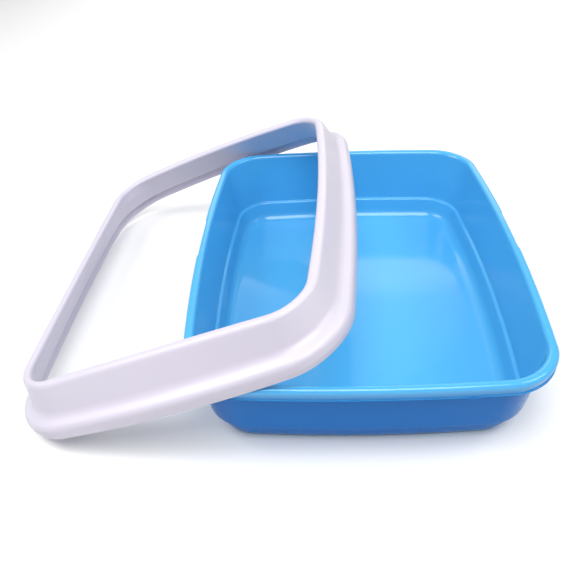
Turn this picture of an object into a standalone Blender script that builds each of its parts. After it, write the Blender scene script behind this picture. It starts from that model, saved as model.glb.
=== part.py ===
# Open litter tray with its removable rim frame.
#
# The tray stands on z = 0, its base centred on the origin, its length along Y and its
# width along X. The rim frame is off the tray and leans on it: its left foot stands on
# the floor beside the tray and its flanks ride on the tray's two left corners.
# Lengths are in metres, angles in degrees.

import math

import bmesh
import bpy
from mathutils import Euler, Vector
from mathutils.bvhtree import BVHTree

# Tray, all sizes outside unless the name says otherwise
tray_width = 0.380
tray_length = 0.4884
tray_height = 0.0996
tray_wall = 0.0023
rim_corner_radius = 0.0479
base_corner_radius = 0.0335
flank_bow = 0.0130
end_bow = 0.0078
base_bow_share = 0.9

# The rim is rolled outward into a bead, with a short skirt that ends in a free lip
bead_radius = 0.0050
skirt_drop = 0.0137

# The wall runs down to a ledge near the floor, below it a narrower band meets the base
wall_foot_inset = 0.0172
step_height = 0.0258
ledge_width = 0.0038
base_inset = 0.0281
floor_fillet = 0.0140
base_fillet = 0.0050
ledge_rounding = 0.0020

# Finger recess halfway along each flank of the rim
recess_length = 0.078
recess_depth = 0.0013
recess_ramp = 0.0060
recess_centre = 0.018

# Rim frame: a skirt that drops outside the bead and a ledge that sits on top of it
fit_clearance = 0.0020
skirt_wall = 0.0022
edge_rounding = 0.0006
bead_cover = 0.0072
ledge_drop = 0.0147
frame_height = 0.0522
bulge_foot = 0.0060
bulge_height = 0.0160
bulge_rounding = 0.0090
waist_height = 0.0205
waist_depth = 0.0125
waist_rounding = 0.0120
top_lean = 0.0251
top_bead_width = 0.0132
corner_slack = 0.0060
top_corner_radius = 0.0486
inner_corner_radius = 0.0280

# The leaning frame is flexed: each side bows by its own amount, at the foot and the top
foot_bows = {"right": 0.0111, "back": 0.0173, "left": 0.0125, "front": 0.0129}
top_bows = {"right": 0.0100, "back": 0.0165, "left": 0.0, "front": -0.0012}

# How the frame leans
foot_reach = 0.1776
lean_offset = 0.0036
lean_yaw = -2.1
rest_gap = 0.0003

corner_steps = 7
side_steps = 6
section_turn = 30.0

tray_blue = (0.095, 0.395, 0.870, 1.0)
frame_white = (0.800, 0.775, 0.850, 1.0)


def clear_scene():
    for obj in list(bpy.data.objects):
        bpy.data.objects.remove(obj, do_unlink=True)


def plastic(name, colour, roughness):
    """An unmetallic moulded plastic."""
    material = bpy.data.materials.new(name)
    material.use_nodes = True
    shader = material.node_tree.nodes["Principled BSDF"]
    shader.inputs["Base Color"].default_value = colour
    shader.inputs["Roughness"].default_value = roughness
    shader.inputs["Metallic"].default_value = 0.0
    material.diffuse_color = colour
    return material


def rounded_corner(before, corner, after, radius):
    """Points of the arc that rounds off one corner of a section."""
    to_before = before - corner
    to_after = after - corner
    room = 0.49 * min(to_before.length, to_after.length)
    to_before.normalize()
    to_after.normalize()
    half_angle = 0.5 * to_before.angle(to_after)
    tangent = min(radius / math.tan(half_angle), room)
    radius = tangent * math.tan(half_angle)
    centre = corner + (to_before + to_after).normalized() * (radius / math.sin(half_angle))
    start = corner + to_before * tangent - centre
    sweep = math.pi - 2.0 * half_angle
    if to_before.x * to_after.y - to_before.y * to_after.x > 0.0:
        sweep = -sweep
    steps = max(1, math.ceil(abs(math.degrees(sweep)) / section_turn))
    points = []
    for step in range(steps + 1):
        angle = sweep * step / steps
        cos, sin = math.cos(angle), math.sin(angle)
        turned = Vector((start.x * cos - start.y * sin, start.x * sin + start.y * cos))
        points.append(centre + turned)
    return points


def section_points(corners, closed):
    """A section of (inset, height, radius) corners, as rounded (inset, height) points."""
    count = len(corners)
    spots = [Vector(corner[:2]) for corner in corners]
    points = []
    for index, (inset, height, radius) in enumerate(corners):
        at_end = not closed and index in (0, count - 1)
        if at_end or radius == 0.0:
            points.append(spots[index])
            continue
        before = spots[index - 1]
        after = spots[(index + 1) % count]
        points += rounded_corner(before, spots[index], after, radius)
    return points


def even_shares(count):
    """Evenly spaced places along a straight side, from -1 to 1, ends left out."""
    return [-1.0 + 2.0 * (step + 1) / (count + 1) for step in range(count)]


def bowed(x, y, half_x, half_y, bows):
    """Moves a point of a rounded rectangle out with the bow of the side it is on."""
    bow_x = bows["right"] if x > 0.0 else bows["left"]
    bow_y = bows["back"] if y > 0.0 else bows["front"]
    out_x = 1.0 + bow_x / half_x * (1.0 - (y / half_y) ** 2)
    out_y = 1.0 + bow_y / half_y * (1.0 - (x / half_x) ** 2)
    return x * out_x, y * out_y


def bowed_outline(half_width, half_length, radius, bows, flank_shares):
    """A rounded rectangle with bowed sides, anticlockwise from its right flank."""
    half_x = half_width - 0.5 * (bows["right"] + bows["left"])
    half_y = half_length - 0.5 * (bows["back"] + bows["front"])
    end_shares = even_shares(side_steps - 2)
    straight_x = half_x - radius
    straight_y = half_y - radius
    points = []
    for quarter in range(4):
        along_y = quarter % 2 == 0
        shares = flank_shares if along_y else end_shares
        sign = 1.0 if quarter < 2 else -1.0
        for share in shares:
            if along_y:
                points.append((sign * half_x, sign * share * straight_y))
            else:
                points.append((-sign * share * straight_x, sign * half_y))
        turn = math.radians(90.0 * quarter)
        centre_x = straight_x if quarter in (0, 3) else -straight_x
        centre_y = straight_y if quarter in (0, 1) else -straight_y
        for step in range(corner_steps + 1):
            angle = turn + math.radians(90.0 * step / corner_steps)
            points.append((centre_x + radius * math.cos(angle), centre_y + radius * math.sin(angle)))
    return [bowed(x, y, half_x, half_y, bows) for x, y in points]


def loft(name, rings, closed):
    """A closed body through rings of equal length: a ring-shaped one, or one with flat ends."""
    bm = bmesh.new()
    loops = [[bm.verts.new(point) for point in ring] for ring in rings]
    pairs = list(zip(loops, loops[1:]))
    if closed:
        pairs.append((loops[-1], loops[0]))
    for lower, upper in pairs:
        for index in range(len(lower)):
            after = (index + 1) % len(lower)
            bm.faces.new((lower[index], lower[after], upper[after], upper[index]))
    if not closed:
        bm.faces.new(loops[0])
        bm.faces.new(reversed(loops[-1]))
    bmesh.ops.recalc_face_normals(bm, faces=bm.faces)
    mesh = bpy.data.meshes.new(name)
    bm.to_mesh(mesh)
    bm.free()
    mesh.shade_smooth()
    mesh.set_sharp_from_angle(angle=math.radians(40.0))
    return bpy.data.objects.new(name, mesh)


def tray_section():
    """The tray's section, from the floor up the inside, over the bead and down to the base."""
    top = tray_height
    bead = 2.0 * bead_radius
    lip = top - skirt_drop
    ledge_foot = wall_foot_inset + ledge_width
    corners = [
        (base_inset + 2.0 * floor_fillet, tray_wall, 0.0),
        (base_inset + tray_wall, tray_wall, floor_fillet),
        (ledge_foot + tray_wall, step_height + tray_wall, ledge_rounding),
        (wall_foot_inset + tray_wall, step_height + tray_wall, ledge_rounding),
        (bead, top, bead_radius),
        (0.0, top, bead_radius),
        (0.0, lip, 0.0),
        (tray_wall, lip, 0.0),
        (tray_wall, top - tray_wall, bead_radius - tray_wall),
        (bead - tray_wall, top - tray_wall, bead_radius - tray_wall),
        (wall_foot_inset, step_height, ledge_rounding),
        (ledge_foot, step_height, ledge_rounding),
        (base_inset, 0.0, base_fillet),
        (base_inset + base_fillet, 0.0, 0.0),
    ]
    return section_points(corners, closed=False)


def recess_share(y):
    """1 inside the finger recess, 0 outside it, with a short ramp at each end."""
    past_end = abs(y - recess_centre) - 0.5 * recess_length
    return min(1.0, max(0.0, 1.0 - past_end / recess_ramp))


def flank_shares_with_recess(straight_half):
    """Places along a flank, with one at each end of both ramps of the recess."""
    shares = []
    for side in (-1.0, 1.0):
        for past_end in (0.0, recess_ramp):
            shares.append((recess_centre + side * (0.5 * recess_length + past_end)) / straight_half)
    spacing = 1.0 / side_steps
    for share in even_shares(side_steps):
        if min(abs(share - taken) for taken in shares) > spacing:
            shares.append(share)
    return sorted(shares)


def make_tray():
    half_width = 0.5 * tray_width
    half_length = 0.5 * tray_length
    shares = flank_shares_with_recess(half_length - end_bow - rim_corner_radius)
    mirrored = sorted(-share for share in shares)
    rings = []
    for inset, height in tray_section():
        depth = min(1.0, inset / base_inset)
        radius = rim_corner_radius + (base_corner_radius - rim_corner_radius) * depth
        bow_share = 1.0 + (base_bow_share - 1.0) * depth
        bows = {
            "right": flank_bow * bow_share,
            "left": flank_bow * bow_share,
            "back": end_bow * bow_share,
            "front": end_bow * bow_share,
        }
        ring = tray_ring(half_width - inset, half_length - inset, radius, bows, (shares, mirrored))
        fade = (2.0 * bead_radius - tray_wall - inset) / (2.0 * bead_radius - 2.0 * tray_wall)
        dent = recess_depth * min(1.0, max(0.0, fade))
        if height < tray_height - skirt_drop - tray_wall:
            dent = 0.0
        rings.append([dented(x, y, height, dent, half_width) for x, y in ring])
    return loft("litter_tray", rings, closed=False)


def tray_ring(half_width, half_length, radius, bows, shares):
    """One outline of the tray, with the recess at the same place on both flanks."""
    right = bowed_outline(half_width, half_length, radius, bows, shares[0])
    left = bowed_outline(half_width, half_length, radius, bows, shares[1])
    return [r if r[0] > 0.0 else l for r, l in zip(right, left)]


def dented(x, y, height, dent, half_width):
    """A rim point, pushed in where the finger recess is."""
    if abs(x) > 0.8 * half_width:
        x -= math.copysign(dent * recess_share(y), x)
    return x, y, height


def frame_section():
    """The rim frame's section: skirt, bulge, waist, wall and bead outside, then the ledge inside."""
    ledge_inset = fit_clearance + skirt_wall + bead_cover
    bead_in = top_lean + top_bead_width
    bead_rounding = 0.49 * top_bead_width
    corners = [
        (0.5 * skirt_wall, 0.0, edge_rounding),
        (0.0, bulge_foot, bulge_rounding),
        (0.0, bulge_height, bulge_rounding),
        (waist_depth, waist_height, waist_rounding),
        (top_lean, frame_height, bead_rounding),
        (bead_in, frame_height, bead_rounding),
        (ledge_inset, ledge_drop, edge_rounding),
        (skirt_wall, ledge_drop, edge_rounding),
        (skirt_wall, 0.0, edge_rounding),
    ]
    return section_points(corners, closed=True)


def frame_ring(inset, height):
    """One outline of the rim frame. Above the ledge it turns from the foot's shape to the top's."""
    outset = fit_clearance + skirt_wall
    foot_radius = rim_corner_radius + outset + corner_slack
    lean_share = min(1.0, inset / top_lean)
    bead_share = max(0.0, inset - top_lean) / top_bead_width
    radius = foot_radius + (top_corner_radius - foot_radius) * lean_share
    radius += (inner_corner_radius - top_corner_radius) * bead_share
    rise = max(0.0, (height - ledge_drop) / (frame_height - ledge_drop))
    bows = {side: foot_bows[side] * (1.0 - rise) + top_bows[side] * rise for side in foot_bows}
    half_width = 0.5 * tray_width + outset - inset
    half_length = 0.5 * tray_length + outset - inset
    outline = bowed_outline(half_width, half_length, radius, bows, even_shares(side_steps + 2))
    return [(x, y, height) for x, y in outline]


def make_frame():
    rings = [frame_ring(inset, height) for inset, height in frame_section()]
    return loft("rim_frame", rings, closed=True)


def world_tree(obj, matrix):
    """The object's surface as a search tree, placed by the given matrix."""
    points = [matrix @ vertex.co for vertex in obj.data.vertices]
    faces = [tuple(polygon.vertices) for polygon in obj.data.polygons]
    return BVHTree.FromPolygons(points, faces), points


def leaning_place(frame, tilt):
    """Where the frame stands when it tips up by this angle with its left foot on the floor."""
    turned = Euler((0.0, -tilt, math.radians(lean_yaw))).to_matrix().to_4x4()
    points = [turned @ vertex.co for vertex in frame.data.vertices]
    lowest = min(point.z for point in points)
    farthest = min(point.x for point in points)
    turned.translation = (
        -0.5 * tray_width - foot_reach - farthest,
        lean_offset,
        -lowest,
    )
    return turned


def clears(frame, tray_tree, tray_points, place):
    """Whether the frame, so placed, is nowhere nearer to the tray than the rest gap."""
    frame_tree, frame_points = world_tree(frame, place)
    if tray_tree.overlap(frame_tree):
        return False
    if any(tray_tree.find_nearest(point, rest_gap)[0] for point in frame_points):
        return False
    return not any(frame_tree.find_nearest(point, rest_gap)[0] for point in tray_points)


def lean_frame(frame, tray):
    """Lowers the frame round its foot until it rests on the tray's rim."""
    tray_tree, tray_points = world_tree(tray, tray.matrix_world)
    low, high = math.radians(5.0), math.radians(60.0)
    for _ in range(18):
        middle = 0.5 * (low + high)
        if clears(frame, tray_tree, tray_points, leaning_place(frame, middle)):
            high = middle
        else:
            low = middle
    place = leaning_place(frame, high)
    frame.location = place.to_translation()
    frame.rotation_euler = place.to_euler()


def build():
    clear_scene()
    collection = bpy.data.collections.new("litter_tray_with_rim_frame")
    bpy.context.scene.collection.children.link(collection)
    tray = make_tray()
    frame = make_frame()
    tray.data.materials.append(plastic("tray_polypropylene", tray_blue, 0.22))
    frame.data.materials.append(plastic("frame_polypropylene", frame_white, 0.35))
    for obj in (tray, frame):
        collection.objects.link(obj)
    lean_frame(frame, tray)


build()
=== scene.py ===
# An open litter tray with its rim frame taken off and leaned on it, both moulded polypropylene.
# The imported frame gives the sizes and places. Lengths are in metres, angles in degrees.

import math

import bmesh
import bpy
from mathutils import Matrix, Vector, noise


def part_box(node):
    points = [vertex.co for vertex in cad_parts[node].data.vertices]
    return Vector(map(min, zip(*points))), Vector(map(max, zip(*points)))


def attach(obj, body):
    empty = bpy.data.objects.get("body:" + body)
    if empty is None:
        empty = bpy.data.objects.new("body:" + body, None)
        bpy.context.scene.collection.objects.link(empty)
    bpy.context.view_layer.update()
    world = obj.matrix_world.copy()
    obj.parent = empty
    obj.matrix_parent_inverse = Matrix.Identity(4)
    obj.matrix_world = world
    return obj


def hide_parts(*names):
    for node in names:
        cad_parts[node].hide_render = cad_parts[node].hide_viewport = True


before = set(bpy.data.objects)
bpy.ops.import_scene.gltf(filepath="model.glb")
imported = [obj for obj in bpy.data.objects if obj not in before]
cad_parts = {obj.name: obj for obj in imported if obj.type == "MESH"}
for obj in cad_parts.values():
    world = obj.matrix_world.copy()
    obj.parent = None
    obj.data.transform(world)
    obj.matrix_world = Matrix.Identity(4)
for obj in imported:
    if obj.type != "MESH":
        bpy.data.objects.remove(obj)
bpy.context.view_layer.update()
trayLow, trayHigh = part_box("litter_tray")
rimLow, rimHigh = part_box("rim_frame")
print("frame loaded:", ", ".join(sorted(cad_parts)))


# Sections and outlines

def easeIn(share):
    share = min(1.0, max(0.0, share))
    return share * share * (3.0 - 2.0 * share)


def roundCorner(before, spot, after, radius, turn):
    # the arc that rounds one corner of a section
    toBefore, toAfter = (before - spot), (after - spot)
    room = 0.49 * min(toBefore.length, toAfter.length)
    toBefore.normalize()
    toAfter.normalize()
    half = 0.5 * toBefore.angle(toAfter)
    tangent = min(radius / math.tan(half), room)
    centre = spot + (toBefore + toAfter).normalized() * (tangent / math.cos(half))
    start = spot + toBefore * tangent - centre
    sweep = math.copysign(math.pi - 2.0 * half, -toBefore.cross(toAfter))
    steps = max(2, math.ceil(abs(math.degrees(sweep)) / turn))
    arc = []
    for step in range(steps + 1):
        cos, sin = math.cos(sweep * step / steps), math.sin(sweep * step / steps)
        arc.append(centre + Vector((start.x * cos - start.y * sin, start.x * sin + start.y * cos)))
    return arc


def roundedSection(corners, closed, turn=9.0, longest=0.004):
    # (inset, height, radius) corners as a line of points, no two further apart than longest
    spots = [Vector(corner[:2]) for corner in corners]
    line = []
    for index, spot in enumerate(spots):
        atEnd = not closed and index in (0, len(spots) - 1)
        if atEnd or corners[index][2] == 0.0:
            line.append(spot)
        else:
            after = spots[(index + 1) % len(spots)]
            line += roundCorner(spots[index - 1], spot, after, corners[index][2], turn)
    points = [line[0]]
    for spot in line[1:] + ([line[0]] if closed else []):
        gap = (spot - points[-1]).length
        if gap < 0.0002:
            continue
        steps = math.ceil(gap / longest)
        last = points[-1]
        points += [last.lerp(spot, (step + 1) / steps) for step in range(steps)]
    return points[:-1] if closed else points


def bowedOutline(halfX, halfY, radius, bows, cuts):
    # a rounded rectangle whose sides bow out, each by its own amount: right, back, left, front
    right, back, left, front = bows
    sideX = halfX - 0.5 * (right + left)
    sideY = halfY - 0.5 * (back + front)
    straightX, straightY = sideX - radius, sideY - radius
    points = []
    for quarter in range(4):
        alongY = quarter % 2 == 0
        sign = 1.0 if quarter < 2 else -1.0
        sideCuts = cuts["flank"] if alongY else cuts["end"]
        for cut in range(sideCuts):
            share = -1.0 + 2.0 * (cut + 1) / (sideCuts + 1)
            if alongY:
                points.append((sign * sideX, sign * share * straightY))
            else:
                points.append((-sign * share * straightX, sign * sideY))
        middleX = straightX if quarter in (0, 3) else -straightX
        middleY = straightY if quarter in (0, 1) else -straightY
        for cut in range(cuts["corner"] + 1):
            angle = math.radians(90.0 * (quarter + cut / cuts["corner"]))
            points.append((middleX + radius * math.cos(angle), middleY + radius * math.sin(angle)))
    bowed = []
    for x, y in points:
        outX = 1.0 + (right if x > 0.0 else left) / sideX * (1.0 - (y / sideY) ** 2)
        outY = 1.0 + (back if y > 0.0 else front) / sideY * (1.0 - (x / sideX) ** 2)
        bowed.append(Vector((x * outX, y * outY)))
    return bowed


# Modelling, loop by loop

def turnOf(spot):
    return math.atan2(spot.y, spot.x)


def moveLoop(outline, heights):
    # moves the selected loop onto the outline, in the order of their turn round the middle
    mesh = bpy.context.object.data
    cage = bmesh.from_edit_mesh(mesh)
    loop = sorted((vert for vert in cage.verts if vert.select), key=lambda vert: turnOf(vert.co))
    for vert, (spot, height) in zip(loop, sorted(zip(outline, heights), key=lambda pair: turnOf(pair[0]))):
        vert.co = (spot.x, spot.y, height)
    bmesh.update_edit_mesh(mesh)


def startLoop(name, outline, heights):
    bpy.ops.object.select_all(action="DESELECT")
    bpy.ops.mesh.primitive_circle_add(vertices=len(outline), radius=1.0, fill_type="NOTHING")
    piece = bpy.context.object
    piece.name = name
    piece.data.name = name
    bpy.ops.object.mode_set(mode="EDIT")
    bpy.ops.mesh.select_mode(type="VERT")
    bpy.ops.mesh.select_all(action="SELECT")
    moveLoop(outline, heights)
    return piece


def nextLoop(outline, heights):
    # the small lift only parts the new loop from the last one before it is moved
    bpy.ops.mesh.extrude_region_move(TRANSFORM_OT_translate={"value": (0.0, 0.0, 0.001)})
    moveLoop(outline, heights)


sharpestSmoothAngle = 38.0


def finishPiece(piece, body, node, material):
    bpy.ops.object.shade_smooth_by_angle(angle=math.radians(sharpestSmoothAngle))
    piece.data.materials.clear()
    piece.data.materials.append(material)
    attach(piece, body)
    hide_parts(node)
    print(piece.name, "has", sum(len(face.vertices) - 2 for face in piece.data.polygons), "triangles")


# Materials

def hexColour(code):
    # an sRGB hex colour as the linear one that shaders want
    parts = [int(code[index:index + 2], 16) / 255.0 for index in (0, 2, 4)]
    linear = [part / 12.92 if part <= 0.04045 else ((part + 0.055) / 1.055) ** 2.4 for part in parts]
    return (*linear, 1.0)


def addNode(tree, kind, sockets, **settings):
    node = tree.nodes.new(kind)
    for name, value in settings.items():
        setattr(node, name, value)
    for name, value in sockets.items():
        socket = node.inputs[name]
        if isinstance(value, bpy.types.NodeSocket):
            tree.links.new(value, socket)
        else:
            socket.default_value = value
    return node


def newMaterial(name):
    material = bpy.data.materials.new(name)
    material.use_nodes = True
    material.node_tree.nodes.clear()
    return material


# sizes of what both mouldings show, and how light goes into the plastic
melt = {"coolingSize": 0.11, "hazeSize": 0.035, "rippleSize": 0.05, "ior": 1.49, "scatterDepth": 0.004}


def mouldedPolypropylene(name, look):
    # PP as it leaves the mould: two close tones where the melt cooled unevenly, a gloss that varies a
    # little,
    # a slow ripple of sink marks that bends what it mirrors, and the mould's own fine skin; and painted
    # shade:
    # faces turned away from the tray's middle, below a set height, get a deeper colour and less specular
    # sheen
    material = newMaterial(name)
    tree = material.node_tree
    spot = addNode(tree, "ShaderNodeTexCoord", {})
    place = spot.outputs["Object"]
    cooling = addNode(tree, "ShaderNodeTexNoise", {
        "Vector": place, "Scale": 1.0 / melt["coolingSize"], "Detail": 2.0})
    colour = addNode(tree, "ShaderNodeMix", {}, data_type="RGBA")
    colour.inputs[6].default_value = hexColour(look["colour"])
    colour.inputs[7].default_value = hexColour(look["otherColour"])
    tree.links.new(cooling.outputs["Fac"], colour.inputs[0])
    # painted shade: a mask of faces turned away from the middle, below the look's height range, darkens
    # the colour and lowers the specular level, standing in for the shade on outward faces
    level = addNode(tree, "ShaderNodeVectorMath", {0: place, 1: (1.0, 1.0, 0.0)}, operation="MULTIPLY")
    away = addNode(tree, "ShaderNodeVectorMath", {0: level.outputs[0]}, operation="NORMALIZE")
    facing = addNode(tree, "ShaderNodeVectorMath", {0: away.outputs[0], 1: spot.outputs["Normal"]},
                     operation="DOT_PRODUCT")
    outside = addNode(tree, "ShaderNodeMapRange", {
        "Value": facing.outputs["Value"], "From Min": 0.45, "From Max": 0.85})
    height = addNode(tree, "ShaderNodeSeparateXYZ", {"Vector": place})
    under = addNode(tree, "ShaderNodeMapRange", {
        "Value": height.outputs["Z"],
        "From Min": look["paintedShadeFrom"][0], "From Max": look["paintedShadeFrom"][1]})
    paintedShade = addNode(tree, "ShaderNodeMath", {0: outside.outputs["Result"], 1: under.outputs["Result"]},
                   operation="MULTIPLY")
    sheen = addNode(tree, "ShaderNodeMapRange", {
        "Value": paintedShade.outputs[0], "To Min": 0.5, "To Max": look["paintedShadeSheen"]})
    shadedTone = addNode(tree, "ShaderNodeMix", {}, data_type="RGBA")
    tree.links.new(paintedShade.outputs[0], shadedTone.inputs[0])
    tree.links.new(colour.outputs[2], shadedTone.inputs[6])
    shadedTone.inputs[7].default_value = hexColour(look["paintedShadeColour"])
    haze = addNode(tree, "ShaderNodeTexNoise", {
        "Vector": place, "Scale": 1.0 / melt["hazeSize"], "Detail": 4.0})
    gloss = addNode(tree, "ShaderNodeMapRange", {
        "Value": haze.outputs["Fac"], "From Min": 0.35, "From Max": 0.7,
        "To Min": look["roughness"][0], "To Max": look["roughness"][1]})
    ripple = addNode(tree, "ShaderNodeTexNoise", {
        "Vector": place, "Scale": 1.0 / melt["rippleSize"], "Detail": 1.0})
    sinks = addNode(tree, "ShaderNodeBump", {
        "Height": ripple.outputs["Fac"], "Strength": 1.0, "Distance": look["sinkDepth"]})
    grain = addNode(tree, "ShaderNodeTexNoise", {
        "Vector": place, "Scale": 1.0 / look["grain"], "Detail": 3.0})
    skin = addNode(tree, "ShaderNodeBump", {
        "Height": grain.outputs["Fac"], "Strength": 1.0, "Distance": look["grainDepth"],
        "Normal": sinks.outputs["Normal"]})
    plastic = addNode(tree, "ShaderNodeBsdfPrincipled", {
        "Base Color": shadedTone.outputs[2], "Roughness": gloss.outputs["Result"], "IOR": melt["ior"],
        "Specular IOR Level": sheen.outputs["Result"],
        "Subsurface Weight": look["glow"], "Subsurface Radius": look["glowReach"],
        "Subsurface Scale": melt["scatterDepth"], "Normal": skin.outputs["Normal"]})
    addNode(tree, "ShaderNodeOutputMaterial", {"Surface": plastic.outputs["BSDF"]})
    return material


# The tray: one moulding, sky blue, from a polished mould

tray = {
    "wall": 0.0023, "rimRadius": 0.0479, "baseRadius": 0.0335,
    "flankBow": 0.0130, "endBow": 0.0078, "baseBowShare": 0.9,
    "beadWidth": 0.0100, "skirt": 0.0134, "lipInset": 0.0020, "lipFlare": 0.0010, "lipHeight": 0.0012,
    "wallFoot": 0.0172, "step": 0.0258, "ledge": 0.0038, "baseInset": 0.0281, "fillet": 0.0140,
    "recess": 0.078, "recessDepth": 0.0013, "recessRamp": 0.008, "recessCentre": 0.018,
    "lipRound": 0.0008, "stepRounds": (0.0010, 0.0030), "filletRun": 1.6,
    "floorTightening": 0.6, "leastRadius": 0.012, "floorLoops": (0.9, 0.75, 0.6, 0.45, 0.3, 0.15),
    "lipUneven": (0.0003, 0.012), "burr": (0.092, 0.006, 0.0022),
    "cuts": {"flank": 61, "end": 33, "corner": 20},
}
trayLook = {
    "colour": "48A5DC", "otherColour": "4EA9DE",
    # the deep blue below the lip on outward faces is painted shade, with its specular level cut to 0.12
    "paintedShadeColour": "1669B4", "paintedShadeFrom": (0.0960, 0.0845), "paintedShadeSheen": 0.12,
    "roughness": (0.09, 0.16), "sinkDepth": 0.00012,
    "grain": 0.0016, "grainDepth": 0.000004, "glow": 0.12, "glowReach": (0.25, 0.6, 1.0),
}


def trayOutline(inset):
    halfX = 0.5 * (trayHigh.x - trayLow.x) - inset
    halfY = 0.5 * (trayHigh.y - trayLow.y) - inset
    depth = min(1.0, inset / tray["baseInset"])
    radius = tray["rimRadius"] + (tray["baseRadius"] - tray["rimRadius"]) * depth
    radius -= tray["floorTightening"] * max(0.0, inset - tray["baseInset"])
    bowShare = 1.0 + (tray["baseBowShare"] - 1.0) * depth
    flank, end = tray["flankBow"] * bowShare, tray["endBow"] * bowShare
    radius = max(radius, tray["leastRadius"])
    return bowedOutline(halfX, halfY, radius, (flank, end, flank, end), tray["cuts"])


def traySection():
    # the visible face: up from the lip, over the bead, down the inside to the edge of the floor
    top, wall, bead = trayHigh.z, tray["wall"], tray["beadWidth"]
    lip, step, foot = top - tray["skirt"], tray["step"] + wall, tray["wallFoot"] + wall
    floorEdge = tray["baseInset"] + wall
    return roundedSection([
        (tray["lipInset"] - tray["lipFlare"], lip, 0.0),
        (tray["lipInset"], lip + tray["lipHeight"], tray["lipRound"]),
        (0.0, top, 0.5 * bead),
        (bead, top, 0.5 * bead),
        (foot, step, tray["stepRounds"][0]),
        (foot + tray["ledge"], step, tray["stepRounds"][1]),
        (floorEdge, wall, tray["fillet"]),
        (floorEdge + tray["filletRun"] * tray["fillet"], wall, 0.0),
    ], closed=False)


def lipRaggedness(spot):
    # the mould's parting line leaves an uneven edge, with one burr near the front right corner
    middle, width, depth = tray["burr"]
    most, length = tray["lipUneven"]
    uneven = most * noise.noise(Vector((spot.x, spot.y, 0.0)) / length)
    near = 1.0 - easeIn(abs(spot.x - middle) / width) if spot.y < 0.0 else 0.0
    return uneven + depth * near


def recessAt(spot, inset):
    # how far the finger recess halfway along each flank pushes the rim in
    pastEnd = abs(spot.y - tray["recessCentre"]) - 0.5 * tray["recess"]
    along = 1.0 - easeIn(pastEnd / tray["recessRamp"] + 0.5)
    onFlank = 1.0 if abs(spot.x) > 0.4 * (trayHigh.x - trayLow.x) else 0.0
    return tray["recessDepth"] * along * onFlank * easeIn(1.0 - inset / tray["beadWidth"])


def trayLoops():
    section = traySection()
    for index, point in enumerate(section):
        outline = trayOutline(point.x)
        onRim = point.y > trayHigh.z - tray["skirt"] - 0.001
        if onRim:
            for spot in outline:
                spot.x -= math.copysign(recessAt(spot, point.x), spot.x)
        ragged = 1.0 if index < 2 else 0.0
        yield outline, [point.y - ragged * lipRaggedness(spot) for spot in outline]
    floorOutline = trayOutline(section[-1].x)
    for share in tray["floorLoops"]:
        yield [spot * share for spot in floorOutline], [tray["wall"]] * len(floorOutline)


def makeTray():
    loops = trayLoops()
    piece = startLoop("tray_moulding", *next(loops))
    for outline, heights in loops:
        nextLoop(outline, heights)
    bpy.ops.mesh.edge_face_add()
    bpy.ops.mesh.select_all(action="SELECT")
    bpy.ops.mesh.normals_make_consistent(inside=False)
    bpy.ops.object.mode_set(mode="OBJECT")
    floorFace = min(piece.data.polygons, key=lambda face: face.center.length)
    if floorFace.normal.z < 0.0:
        piece.data.flip_normals()
    shell = piece.modifiers.new("wall", "SOLIDIFY")
    shell.thickness = tray["wall"]
    shell.offset = -1.0
    shell.use_even_offset = True
    bpy.ops.object.modifier_apply(modifier=shell.name)
    finishPiece(piece, "tray", "litter_tray",
                mouldedPolypropylene("gloss_moulded_polypropylene", trayLook))


# The rim frame: one moulding, off-white with a lavender cast, from a finely blasted mould

rim = {
    "outset": 0.0042, "footRadius": 0.0581, "topRadius": 0.0486, "innerRadius": 0.0280,
    "skirtWall": 0.0022, "bulge": (0.0060, 0.0160), "waist": 0.0205, "waistInset": 0.0125,
    "edgeRound": 0.0008, "skirtRound": 0.0006, "innerEdgeRound": 0.0010,
    "bulgeRound": 0.0090, "waistRound": 0.0120, "beadShare": 0.49,
    "ledgeInset": 0.0114, "ledge": 0.0147, "height": 0.0522,
    "lean": 0.0251, "beadWidth": 0.0132,
    "footBows": (0.0111, 0.0173, 0.0125, 0.0129), "topBows": (0.0100, 0.0165, 0.0, -0.0012),
    "tilt": 20.859, "yaw": -2.1, "cuts": {"flank": 47, "end": 33, "corner": 20},
}
rimLook = {
    "colour": "C9C4D1", "otherColour": "CCC7D3",
    # the slightly deeper lilac on outward faces is painted shade; its specular level stays at 0.5
    "paintedShadeColour": "C2BDCB", "paintedShadeFrom": (0.6, 0.5), "paintedShadeSheen": 0.5,
    "roughness": (0.33, 0.43), "sinkDepth": 0.0001,
    "grain": 0.0009, "grainDepth": 0.000006, "glow": 0.2, "glowReach": (1.0, 0.9, 1.0),
}


def rimSection():
    # outside: foot, bulge, waist, leaning wall and top bead; inside: slanted face, ledge and skirt
    height, lean, bead = rim["height"], rim["lean"], rim["beadWidth"]
    return roundedSection([
        (0.5 * rim["skirtWall"], 0.0, rim["edgeRound"]),
        (0.0, rim["bulge"][0], rim["bulgeRound"]),
        (0.0, rim["bulge"][1], rim["bulgeRound"]),
        (rim["waistInset"], rim["waist"], rim["waistRound"]),
        (lean, height, rim["beadShare"] * bead),
        (lean + bead, height, rim["beadShare"] * bead),
        (rim["ledgeInset"], rim["ledge"], rim["edgeRound"]),
        (rim["skirtWall"], rim["ledge"], rim["innerEdgeRound"]),
        (rim["skirtWall"], 0.0, rim["skirtRound"]),
    ], closed=True)


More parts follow.
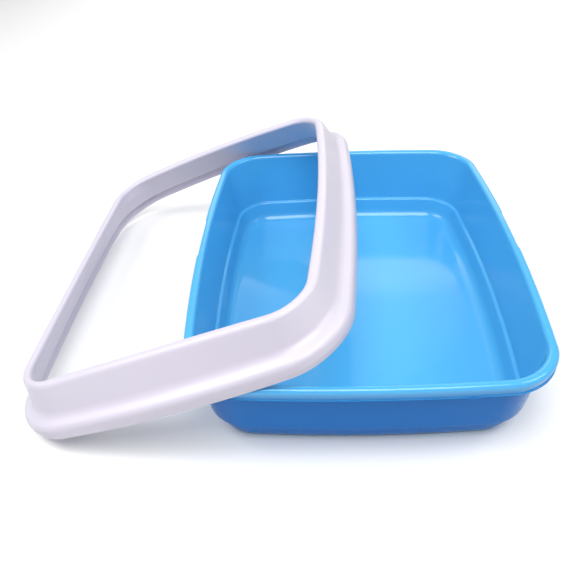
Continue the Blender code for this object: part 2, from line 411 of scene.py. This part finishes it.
def rimOutline(inset, height):
    halfX = 0.5 * (trayHigh.x - trayLow.x) + rim["outset"] - inset
    halfY = 0.5 * (trayHigh.y - trayLow.y) + rim["outset"] - inset
    leanShare = min(1.0, inset / rim["lean"])
    radius = rim["footRadius"] + (rim["topRadius"] - rim["footRadius"]) * leanShare
    beadShare = max(0.0, inset - rim["lean"]) / rim["beadWidth"]
    radius += (rim["innerRadius"] - rim["topRadius"]) * beadShare
    rise = max(0.0, (height - rim["ledge"]) / (rim["height"] - rim["ledge"]))
    bows = [foot * (1.0 - rise) + top * rise for foot, top in zip(rim["footBows"], rim["topBows"])]
    return bowedOutline(halfX, halfY, radius, bows, rim["cuts"])


def makeRim():
    section = rimSection()
    piece = None
    for point in section:
        outline = rimOutline(point.x, point.y)
        heights = [point.y] * len(outline)
        if piece is None:
            piece = startLoop("rim_moulding", outline, heights)
        else:
            nextLoop(outline, heights)
    bpy.ops.mesh.select_all(action="DESELECT")
    bpy.ops.mesh.select_non_manifold()
    bpy.ops.mesh.bridge_edge_loops()
    bpy.ops.mesh.select_all(action="SELECT")
    bpy.ops.mesh.normals_make_consistent(inside=False)
    bpy.ops.object.mode_set(mode="OBJECT")
    leanRim(piece)
    finishPiece(piece, "frame", "rim_frame",
                mouldedPolypropylene("satin_moulded_polypropylene", rimLook))


def leanRim(piece):
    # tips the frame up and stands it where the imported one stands
    piece.rotation_euler = (0.0, math.radians(-rim["tilt"]), math.radians(rim["yaw"]))
    bpy.ops.object.transform_apply(location=False, rotation=True, scale=False)
    low = Vector([min(vert.co[axis] for vert in piece.data.vertices) for axis in range(3)])
    high = Vector([max(vert.co[axis] for vert in piece.data.vertices) for axis in range(3)])
    piece.location = 0.5 * (rimLow + rimHigh) - 0.5 * (low + high)
    bpy.ops.object.transform_apply(location=True, rotation=False, scale=False)
    print("rim frame, size minus the packed size in mm:",
          [round(1000.0 * value, 2) for value in (high - low) - (rimHigh - rimLow)])


# Floor, light and camera

studio = {
    "floor": "ECECEC", "worldColour": "FFFFFF", "worldStrength": 0.33,
    "key": {"place": (0.1, -1.0, 2.4), "aim": (0.0, 0.0, 0.05), "size": 1.8, "power": 56.0},
    "leftFill": {"place": (-1.4, -0.1, 1.5), "aim": (0.0, 0.0, 0.05), "size": 1.0, "power": 17.0},
    "rightFill": {"place": (1.4, -0.1, 1.7), "aim": (0.0, 0.0, 0.05), "size": 1.0, "power": 12.0},
    "backCard": {"place": (0.1, 2.3, 1.6), "aim": (0.0, 0.0, 0.05), "size": 1.5, "power": 2.5},
    "backdrop": {"place": (0.1, 2.0, 0.8), "aim": (0.1, 2.01, 0.0), "size": 2.0, "power": 12.0},
}
view = {
    "azimuth": -2.45, "elevation": 37.76, "roll": -2.79, "distance": 0.7703,
    "aim": (-0.0758, -0.0263, 0.050), "lens": 39.66, "shift": (-0.0101, -0.0002),
}


def makeFloor():
    bpy.ops.object.select_all(action="DESELECT")
    bpy.ops.mesh.primitive_plane_add(size=12.0, location=(0.0, 0.0, 0.0))
    floor = bpy.context.object
    floor.name = "studio_floor"
    material = newMaterial("matt_paper")
    tree = material.node_tree
    paper = addNode(tree, "ShaderNodeBsdfPrincipled", {
        "Base Color": hexColour(studio["floor"]), "Roughness": 0.9, "Specular IOR Level": 0.2})
    addNode(tree, "ShaderNodeOutputMaterial", {"Surface": paper.outputs["BSDF"]})
    floor.data.materials.append(material)


def makeLight(name, light):
    lamp = bpy.data.lights.new(name, "AREA")
    lamp.shape = "DISK"
    lamp.size = light["size"]
    lamp.energy = light["power"]
    holder = bpy.data.objects.new(name, lamp)
    bpy.context.scene.collection.objects.link(holder)
    holder.location = light["place"]
    holder.visible_camera = False
    holder.rotation_euler = (Vector(light["aim"]) - holder.location).to_track_quat("-Z", "Y").to_euler()


def makeWorld():
    world = bpy.data.worlds.new("soft_studio")
    world.use_nodes = True
    background = world.node_tree.nodes["Background"]
    background.inputs["Color"].default_value = hexColour(studio["worldColour"])
    background.inputs["Strength"].default_value = studio["worldStrength"]
    bpy.context.scene.world = world
    bpy.context.scene.view_settings.view_transform = "Standard"


def makeCamera():
    lens = bpy.data.cameras.new("camera")
    lens.lens = view["lens"]
    lens.shift_x, lens.shift_y = view["shift"]
    camera = bpy.data.objects.new("camera", lens)
    bpy.context.scene.collection.objects.link(camera)
    turned = (Matrix.Rotation(math.radians(-view["azimuth"]), 4, "Z")
              @ Matrix.Rotation(math.radians(90.0 - view["elevation"]), 4, "X")
              @ Matrix.Rotation(math.radians(view["roll"]), 4, "Z"))
    back = turned.to_3x3() @ Vector((0.0, 0.0, view["distance"]))
    camera.matrix_world = Matrix.Translation(Vector(view["aim"]) + back) @ turned
    bpy.context.scene.camera = camera


makeFloor()
makeWorld()
makeLight("key_softbox", studio["key"])
makeLight("left_softbox", studio["leftFill"])
makeLight("right_softbox", studio["rightFill"])
makeLight("back_card", studio["backCard"])
makeLight("backdrop_softbox", studio["backdrop"])
makeCamera()
print("studio ready")
makeTray()
makeRim()
